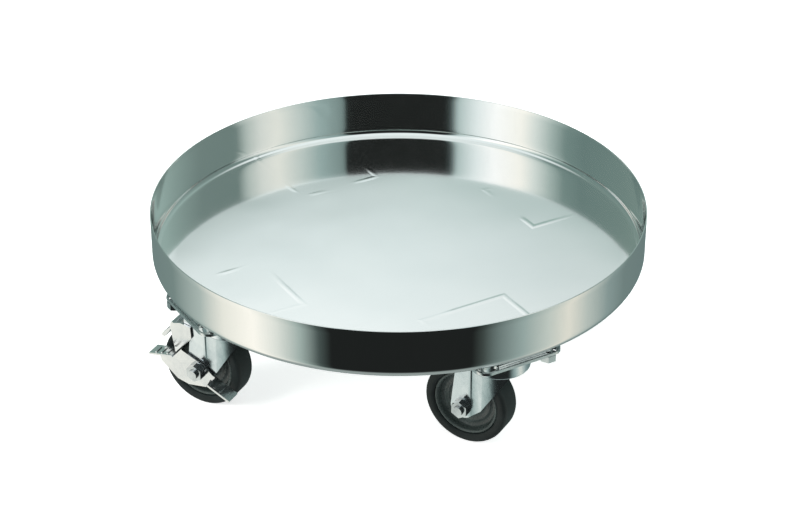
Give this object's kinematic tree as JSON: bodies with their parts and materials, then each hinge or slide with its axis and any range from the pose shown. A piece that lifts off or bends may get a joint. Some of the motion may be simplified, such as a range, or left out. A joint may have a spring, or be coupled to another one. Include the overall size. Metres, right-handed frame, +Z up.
{
  "type": "drum dolly",
  "caption": "Shallow round steel pan on swivel casters, some with a rocking foot brake, for rolling a drum about.",
  "frame": {"origin": "on the floor, under the centre of the pan", "axes": "+Z up; the two braked casters stand on the X axis and the two free ones on the Y axis"},
  "size_m": [0.6324, 0.6, 0.217],
  "materials": {
    "pan_stainless": "polished stainless sheet",
    "plate_zinc": "bright zinc plate",
    "fork_zinc": "bright zinc plate",
    "brake_zinc": "bright zinc plate",
    "fastener_zinc": "bright zinc plate",
    "bearing_steel": "ground steel",
    "spring_steel": "drawn spring wire",
    "wheel_core": "dark moulded core with a glossy rim",
    "tire_rubber": "solid black rubber"
  },
  "bodies": {
    "dolly": {"pan": "pan_stainless", "mount_plate_xneg": "plate_zinc", "top_plate_xneg": "plate_zinc", "swivel_balls_xneg": "bearing_steel", "kingpin_xneg": "fastener_zinc", "kingpin_nut_xneg": "fastener_zinc", "mount_plate_yneg": "plate_zinc", "top_plate_yneg": "plate_zinc", "swivel_balls_yneg": "bearing_steel", "kingpin_yneg": "fastener_zinc", "kingpin_nut_yneg": "fastener_zinc", "mount_plate_xpos": "plate_zinc", "top_plate_xpos": "plate_zinc", "swivel_balls_xpos": "bearing_steel", "kingpin_xpos": "fastener_zinc", "kingpin_nut_xpos": "fastener_zinc", "mount_plate_ypos": "plate_zinc", "top_plate_ypos": "plate_zinc", "swivel_balls_ypos": "bearing_steel", "kingpin_ypos": "fastener_zinc", "kingpin_nut_ypos": "fastener_zinc"},
    "caster_xneg": {"fork_xneg": "fork_zinc", "axle_bolt_xneg": "fastener_zinc", "axle_nut_xneg": "fastener_zinc", "axle_sleeve_xneg": "bearing_steel", "shoe_pin_xneg": "fastener_zinc", "shoe_spring_xneg": "spring_steel"},
    "wheel_xneg": {"wheel_core_xneg": "wheel_core", "tire_xneg": "tire_rubber", "roller_bearing_xneg": "bearing_steel"},
    "lever_xneg": {"brake_lever_xneg": "brake_zinc"},
    "shoe_xneg": {"brake_shoe_xneg": "brake_zinc"},
    "caster_yneg": {"fork_yneg": "fork_zinc", "axle_bolt_yneg": "fastener_zinc", "axle_nut_yneg": "fastener_zinc", "axle_sleeve_yneg": "bearing_steel"},
    "wheel_yneg": {"wheel_core_yneg": "wheel_core", "tire_yneg": "tire_rubber", "roller_bearing_yneg": "bearing_steel"},
    "caster_xpos": {"fork_xpos": "fork_zinc", "axle_bolt_xpos": "fastener_zinc", "axle_nut_xpos": "fastener_zinc", "axle_sleeve_xpos": "bearing_steel", "shoe_pin_xpos": "fastener_zinc", "shoe_spring_xpos": "spring_steel"},
    "wheel_xpos": {"wheel_core_xpos": "wheel_core", "tire_xpos": "tire_rubber", "roller_bearing_xpos": "bearing_steel"},
    "lever_xpos": {"brake_lever_xpos": "brake_zinc"},
    "shoe_xpos": {"brake_shoe_xpos": "brake_zinc"},
    "caster_ypos": {"fork_ypos": "fork_zinc", "axle_bolt_ypos": "fastener_zinc", "axle_nut_ypos": "fastener_zinc", "axle_sleeve_ypos": "bearing_steel"},
    "wheel_ypos": {"wheel_core_ypos": "wheel_core", "tire_ypos": "tire_rubber", "roller_bearing_ypos": "bearing_steel"}
  },
  "joints": [
    {"name": "swivel_xneg", "type": "hinge", "parent": "dolly", "child": "caster_xneg", "pos_m": [-0.23, 0, 0.135], "axis": [0, 0, 1], "continuous": true},
    {"name": "roll_xneg", "type": "hinge", "parent": "caster_xneg", "child": "wheel_xneg", "pos_m": [-0.24906, 0.02935, 0.053], "axis": [0.8387, 0.5446, 0], "continuous": true},
    {"name": "brake_xneg", "type": "hinge", "parent": "caster_xneg", "child": "lever_xneg", "pos_m": [-0.24906, 0.02935, 0.053], "axis": [-0.8387, -0.5446, 0], "range_deg": [0, 26]},
    {"name": "shoe_xneg", "type": "hinge", "parent": "caster_xneg", "child": "shoe_xneg", "pos_m": [-0.25413, 0.03715, 0.116], "axis": [-0.8387, -0.5446, 0], "range_deg": [0, 5]},
    {"name": "swivel_yneg", "type": "hinge", "parent": "dolly", "child": "caster_yneg", "pos_m": [0, -0.23, 0.135], "axis": [0, 0, 1], "continuous": true},
    {"name": "roll_yneg", "type": "hinge", "parent": "caster_yneg", "child": "wheel_yneg", "pos_m": [-0.01803, -0.2, 0.053], "axis": [0.8572, 0.515, 0], "continuous": true},
    {"name": "swivel_xpos", "type": "hinge", "parent": "dolly", "child": "caster_xpos", "pos_m": [0.23, 0, 0.135], "axis": [0, 0, 1], "continuous": true},
    {"name": "roll_xpos", "type": "hinge", "parent": "caster_xpos", "child": "wheel_xpos", "pos_m": [0.24906, -0.02935, 0.053], "axis": [-0.8387, -0.5446, 0], "continuous": true},
    {"name": "brake_xpos", "type": "hinge", "parent": "caster_xpos", "child": "lever_xpos", "pos_m": [0.24906, -0.02935, 0.053], "axis": [0.8387, 0.5446, 0], "range_deg": [0, 26]},
    {"name": "shoe_xpos", "type": "hinge", "parent": "caster_xpos", "child": "shoe_xpos", "pos_m": [0.25413, -0.03715, 0.116], "axis": [0.8387, 0.5446, 0], "range_deg": [0, 5]},
    {"name": "swivel_ypos", "type": "hinge", "parent": "dolly", "child": "caster_ypos", "pos_m": [0, 0.23, 0.135], "axis": [0, 0, 1], "continuous": true},
    {"name": "roll_ypos", "type": "hinge", "parent": "caster_ypos", "child": "wheel_ypos", "pos_m": [0.01803, 0.2, 0.053], "axis": [-0.8572, -0.515, 0], "continuous": true}
  ],
  "couplings": [
    {"joint": "shoe_xneg", "follows": "brake_xneg", "ratio": 0.19},
    {"joint": "shoe_xpos", "follows": "brake_xpos", "ratio": 0.19}
  ]
}
